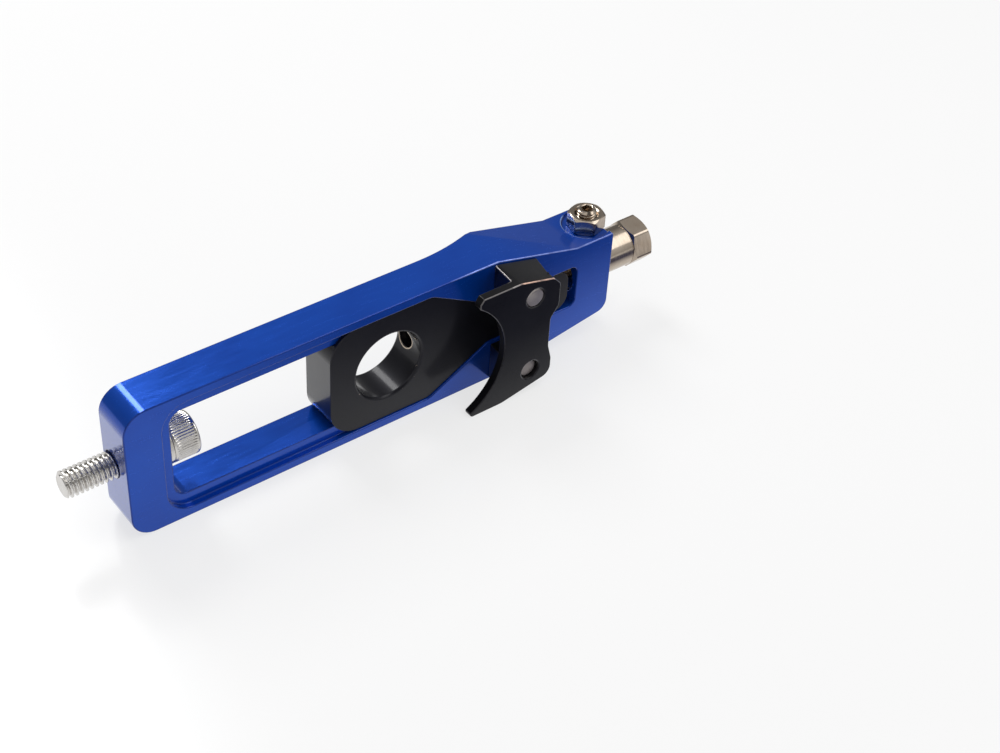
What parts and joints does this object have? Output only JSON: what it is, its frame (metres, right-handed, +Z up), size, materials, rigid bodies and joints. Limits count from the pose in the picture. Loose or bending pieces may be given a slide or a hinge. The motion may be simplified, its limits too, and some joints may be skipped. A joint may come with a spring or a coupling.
{
  "type": "motorcycle chain adjuster",
  "caption": "Slotted swingarm end frame with a sliding axle block, a long adjuster screw and its lock screw, a front bolt and a paddock-stand hook.",
  "frame": {"origin": "where the front bolt's axis leaves the frame's end face, the face that seats on the swingarm", "axes": "+X along the frame from the front bolt to the adjuster screw, +Y from the hook side to the far side, +Z up from the lower rail to the upper rail"},
  "size_m": [0.2499, 0.0358, 0.055],
  "materials": {
    "blue_anodised": "blue anodised, satin, fine milling grain",
    "black_anodised": "black anodised, satin",
    "nickel_plate": "nickel plated, turned",
    "zinc_plate": "zinc plated, satin",
    "black_steel": "blackened, worn to metal at its edges"
  },
  "bodies": {
    "frame_body": {"frame": "blue_anodised", "front_washer": "zinc_plate", "hook": "black_steel", "hook_screw_top": "zinc_plate", "hook_screw_low": "zinc_plate"},
    "axle_carrier": {"axle_block": "black_anodised"},
    "adjuster": {"adjuster_screw": "nickel_plate"},
    "lock_pin": {"lock_screw": "nickel_plate"},
    "lock_ring": {"lock_nut": "nickel_plate"},
    "mount_bolt": {"front_bolt": "zinc_plate"}
  },
  "joints": [
    {"name": "adjuster_turn", "type": "hinge", "parent": "frame_body", "child": "adjuster", "pos_m": [0.2, 0, 0], "axis": [1, 0, 0], "range_deg": [0, 11520]},
    {"name": "axle_slide", "type": "slide", "parent": "frame_body", "child": "axle_carrier", "axis": [-1, 0, 0], "range_m": [0, 0.04]},
    {"name": "lock_screw_turn", "type": "hinge", "parent": "frame_body", "child": "lock_pin", "pos_m": [0.2028, 0, 0.02], "axis": [0, 0, 1], "continuous": true},
    {"name": "lock_nut_turn", "type": "hinge", "parent": "frame_body", "child": "lock_ring", "pos_m": [0.2028, 0, 0.02], "axis": [0, 0, 1], "continuous": true},
    {"name": "front_bolt_turn", "type": "hinge", "parent": "frame_body", "child": "mount_bolt", "pos_m": [0, 0, 0], "axis": [1, 0, 0], "continuous": true}
  ],
  "couplings": [
    {"joint": "adjuster_turn", "follows": "axle_slide", "rad_per_m": 5026.5}
  ]
}
